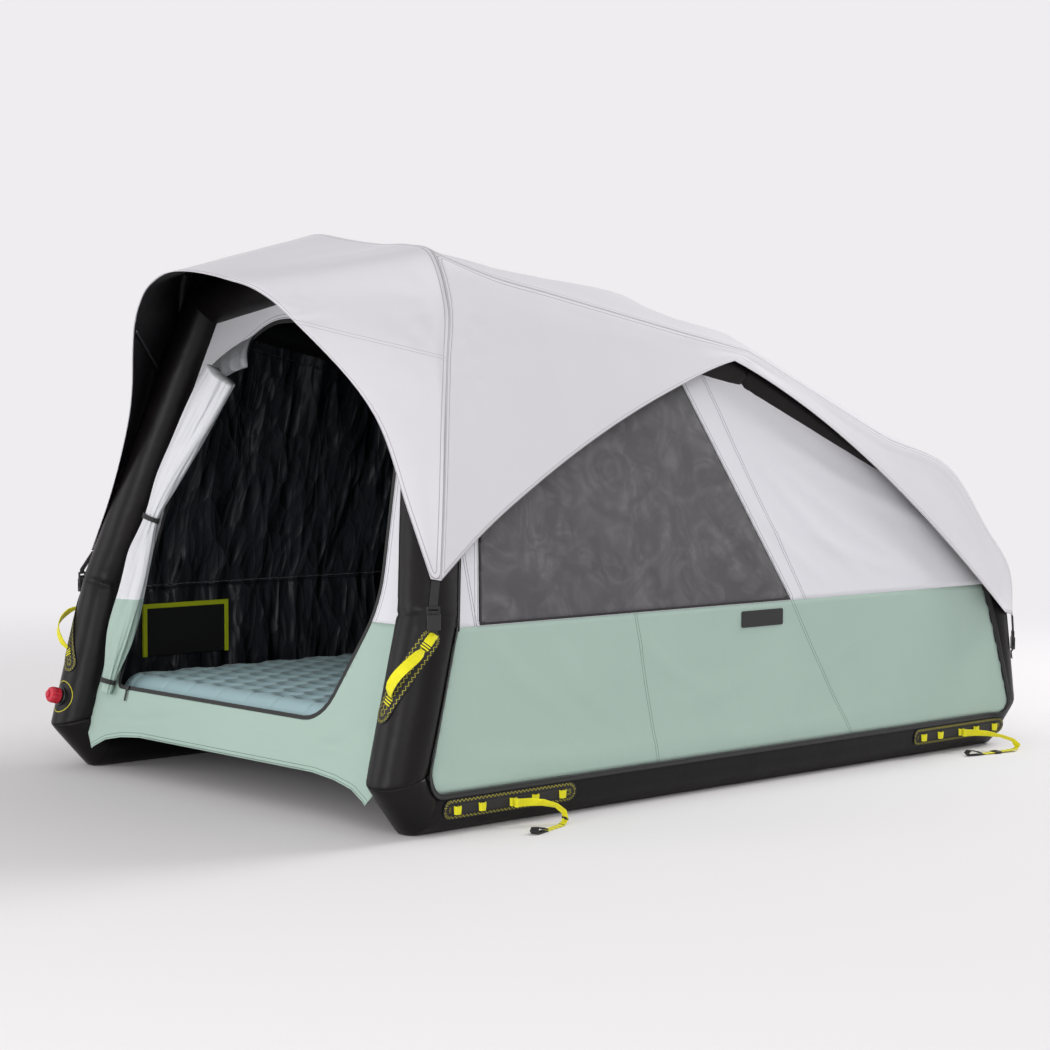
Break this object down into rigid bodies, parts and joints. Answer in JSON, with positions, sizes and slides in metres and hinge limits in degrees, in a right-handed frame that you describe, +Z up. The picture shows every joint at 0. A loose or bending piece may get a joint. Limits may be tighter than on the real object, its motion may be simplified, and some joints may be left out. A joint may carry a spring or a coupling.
{
  "type": "van tent",
  "caption": "Inflatable tent with an air-tube frame, a green and white inner tent, a pale fly with a curved visor, a rolled door and an airbed.",
  "frame": {"origin": "on the ground under the middle of the tent's length and width", "axes": "+X to the side that shows the tag, right of somebody who stands inside and looks at the rear; +Y from the door to the rear; +Z up"},
  "size_m": [1.6742, 2.2866, 1.335],
  "materials": {
    "tube_sleeve": "charcoal coated woven sleeve with a soft sheen",
    "green_fabric": "matt pale green tent cloth",
    "white_fabric": "matt off-white tent cloth",
    "window_mesh": "fine dark insect mesh",
    "black_lining": "crinkled black light-proof coating",
    "fly_fabric": "pale grey coated cloth, black inside",
    "yellow_webbing": "woven webbing",
    "black_webbing": "woven tape",
    "pocket_tape": "black pouch with yellow-green bound edges",
    "airbed": "grey-blue flocked cloth, welded in dimples",
    "black_plastic": "moulded, satin",
    "red_plastic": "moulded, satin",
    "glass_fibre": "drawn rod"
  },
  "bodies": {
    "tent": {"base_tube_right": "tube_sleeve", "base_tube_left": "tube_sleeve", "front_leg_right": "tube_sleeve", "front_leg_left": "tube_sleeve", "roof_rail_right": "tube_sleeve", "roof_rail_left": "tube_sleeve", "rear_leg_right": "tube_sleeve", "rear_leg_left": "tube_sleeve", "front_header": "tube_sleeve", "mid_header": "tube_sleeve", "rear_header": "tube_sleeve", "side_panel_lower_right": "green_fabric", "side_panel_lower_left": "green_fabric", "side_panel_upper_right": "white_fabric", "side_panel_upper_left": "white_fabric", "side_window_right": "window_mesh", "side_window_left": "window_mesh", "front_panel_lower": "green_fabric", "front_panel_upper": "white_fabric", "rear_panel": "white_fabric", "inner_roof_front": "black_lining", "inner_roof_rear": "black_lining", "floor_sheet": "black_lining", "door_zip_tape": "black_webbing", "rolled_door": "green_fabric", "door_tie_upper": "black_webbing", "door_tie_lower": "black_webbing", "side_pocket": "pocket_tape", "mattress": "airbed", "bare_tag": "black_webbing", "valve_base": "black_plastic", "front_anchor_right": "yellow_webbing", "front_anchor_left": "yellow_webbing", "rear_anchor_right": "yellow_webbing", "rear_anchor_left": "yellow_webbing", "front_socket_right": "black_plastic", "front_socket_left": "black_plastic", "rear_socket_right": "black_plastic", "rear_socket_left": "black_plastic"},
    "fly": {"fly_visor": "fly_fabric", "fly_roof": "fly_fabric", "fly_side_right": "fly_fabric", "fly_side_left": "fly_fabric", "visor_batten_right": "glass_fibre", "visor_batten_left": "glass_fibre", "front_plug_right": "black_webbing", "front_plug_left": "black_webbing", "rear_plug_right": "black_webbing", "rear_plug_left": "black_webbing"},
    "zip_slider": {"zip_slider": "black_plastic"},
    "zip_pull": {"zip_pull": "black_webbing"},
    "valve_cap": {"valve_cap": "red_plastic"},
    "handle_right": {"carry_handle_right": "yellow_webbing"},
    "handle_left": {"carry_handle_left": "yellow_webbing"},
    "strap_front_right": {"tie_strap_front_right": "yellow_webbing"},
    "strap_front_left": {"tie_strap_front_left": "yellow_webbing"},
    "strap_rear_right": {"tie_strap_rear_right": "yellow_webbing"},
    "strap_rear_left": {"tie_strap_rear_left": "yellow_webbing"},
    "adjuster_right": {"strap_adjuster_right": "black_plastic"},
    "adjuster_left": {"strap_adjuster_left": "black_plastic"}
  },
  "joints": [
    {"name": "fly_lift", "type": "slide", "parent": "tent", "child": "fly", "axis": [0, 0, 1], "range_m": [0, 1.05]},
    {"name": "zip_travel", "type": "slide", "parent": "tent", "child": "zip_slider", "axis": [1, 0, 0], "range_m": [0, 0.7]},
    {"name": "zip_pull_hinge", "type": "hinge", "parent": "zip_slider", "child": "zip_pull", "pos_m": [-0.45, -1.0041, 0.2138], "axis": [1, 0, 0], "range_deg": [-110, 0]},
    {"name": "valve_cap_turn", "type": "hinge", "parent": "tent", "child": "valve_cap", "pos_m": [-0.6537, -1.0739, 0.1846], "axis": [0, -0.9679, 0.2512], "range_deg": [0, 360]},
    {"name": "handle_swing_right", "type": "hinge", "parent": "tent", "child": "handle_right", "pos_m": [0.7045, -0.9909, 0.4031], "axis": [-0.354, -0.4427, -0.8238], "range_deg": [-25, 25]},
    {"name": "handle_swing_left", "type": "hinge", "parent": "tent", "child": "handle_left", "pos_m": [-0.7045, -0.9909, 0.4031], "axis": [0.354, -0.4427, -0.8238], "range_deg": [-25, 25]},
    {"name": "strap_swing_front_right", "type": "hinge", "parent": "tent", "child": "strap_front_right", "pos_m": [0.7288, -0.745, 0.0516], "axis": [0, 0, 1], "range_deg": [-50, 8]},
    {"name": "strap_swing_front_left", "type": "hinge", "parent": "tent", "child": "strap_front_left", "pos_m": [-0.7288, -0.745, 0.0516], "axis": [0, 0, 1], "range_deg": [-8, 50]},
    {"name": "strap_swing_rear_right", "type": "hinge", "parent": "tent", "child": "strap_rear_right", "pos_m": [0.7288, 0.865, 0.0516], "axis": [0, 0, 1], "range_deg": [-35, 6]},
    {"name": "strap_swing_rear_left", "type": "hinge", "parent": "tent", "child": "strap_rear_left", "pos_m": [-0.7288, 0.865, 0.0516], "axis": [0, 0, 1], "range_deg": [-6, 35]},
    {"name": "adjuster_slide_right", "type": "slide", "parent": "strap_rear_right", "child": "adjuster_right", "axis": [-0.2059, -0.9779, -0.035], "range_m": [-0.012, 0.02]},
    {"name": "adjuster_slide_left", "type": "slide", "parent": "strap_rear_left", "child": "adjuster_left", "axis": [0.2059, -0.9779, -0.035], "range_m": [-0.012, 0.02]}
  ]
}
